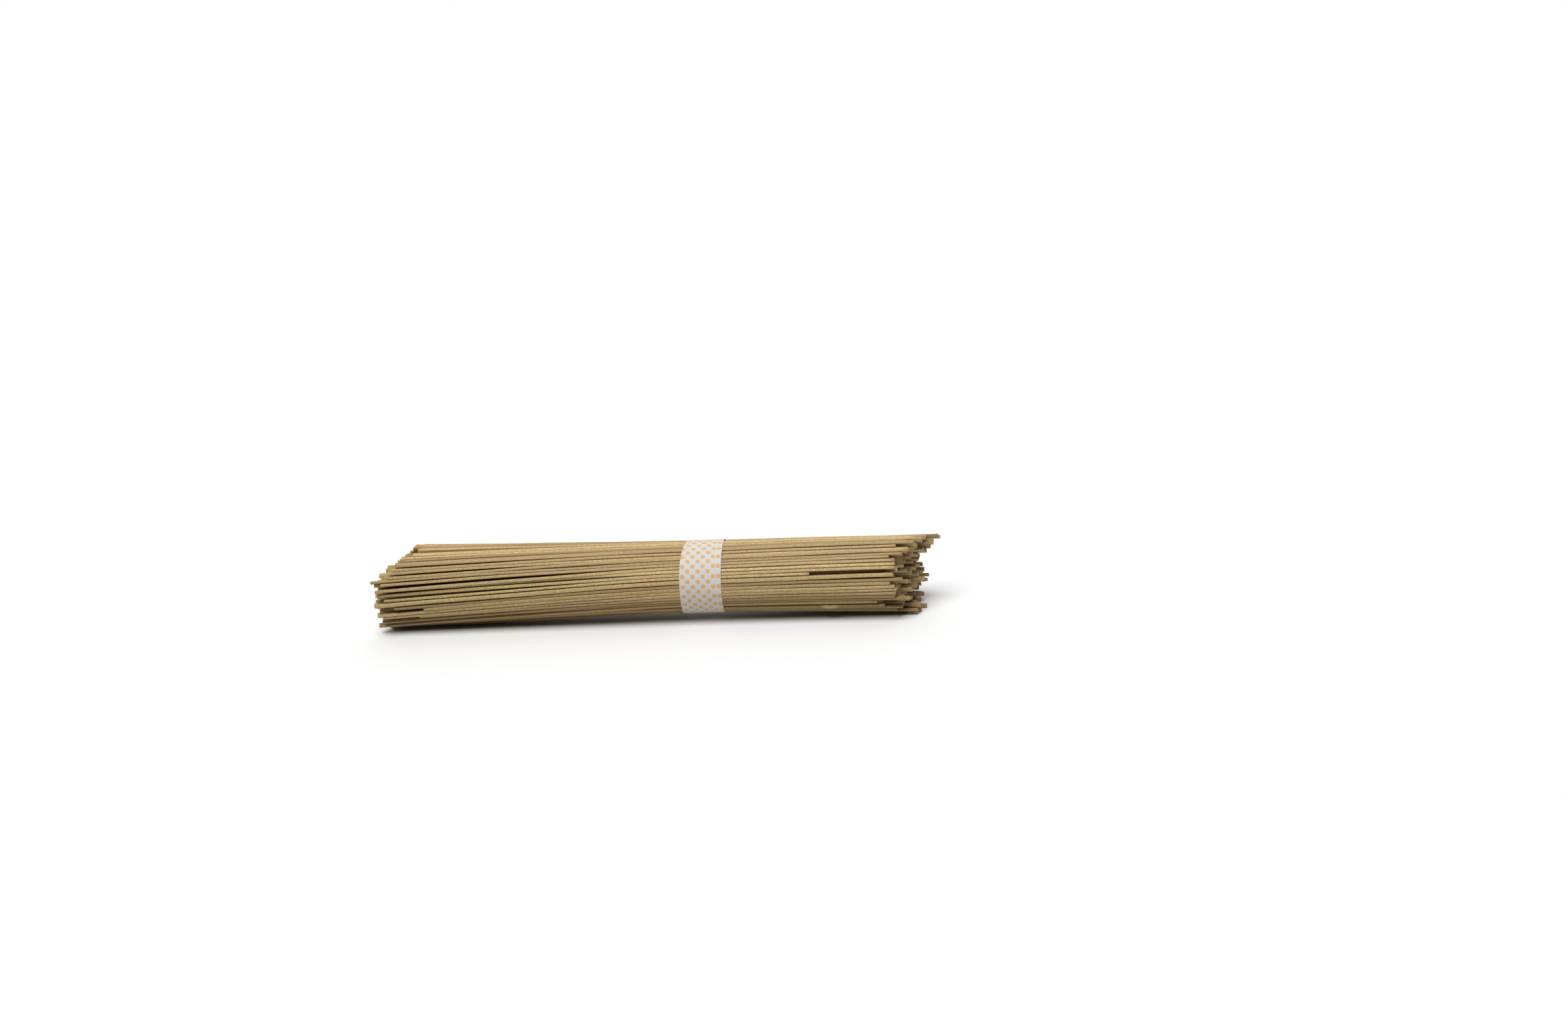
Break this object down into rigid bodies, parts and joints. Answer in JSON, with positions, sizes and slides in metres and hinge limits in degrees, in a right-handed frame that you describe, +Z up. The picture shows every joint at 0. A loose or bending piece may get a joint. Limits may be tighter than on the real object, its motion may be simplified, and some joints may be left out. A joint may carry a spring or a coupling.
{
  "type": "bundle of dried soba noodles",
  "caption": "Banded bundle of dried soba noodles, fanned at one end and even at the other, lying on its side.",
  "frame": {"origin": "under the middle of the bundle's box, on the surface that it lies on", "axes": "+X along the bundle to its even end, +Y away from the side the picture shows, +Z up"},
  "size_m": [0.2036, 0.0306, 0.0301],
  "materials": {
    "noodle": "dry matte dough, fine bran specks, square cut edges",
    "band_paper": "matt white paper strip with a pale orange checked pattern"
  },
  "bodies": {
    "root": {"noodles": "noodle", "paper_band": "band_paper"}
  },
  "joints": []
}
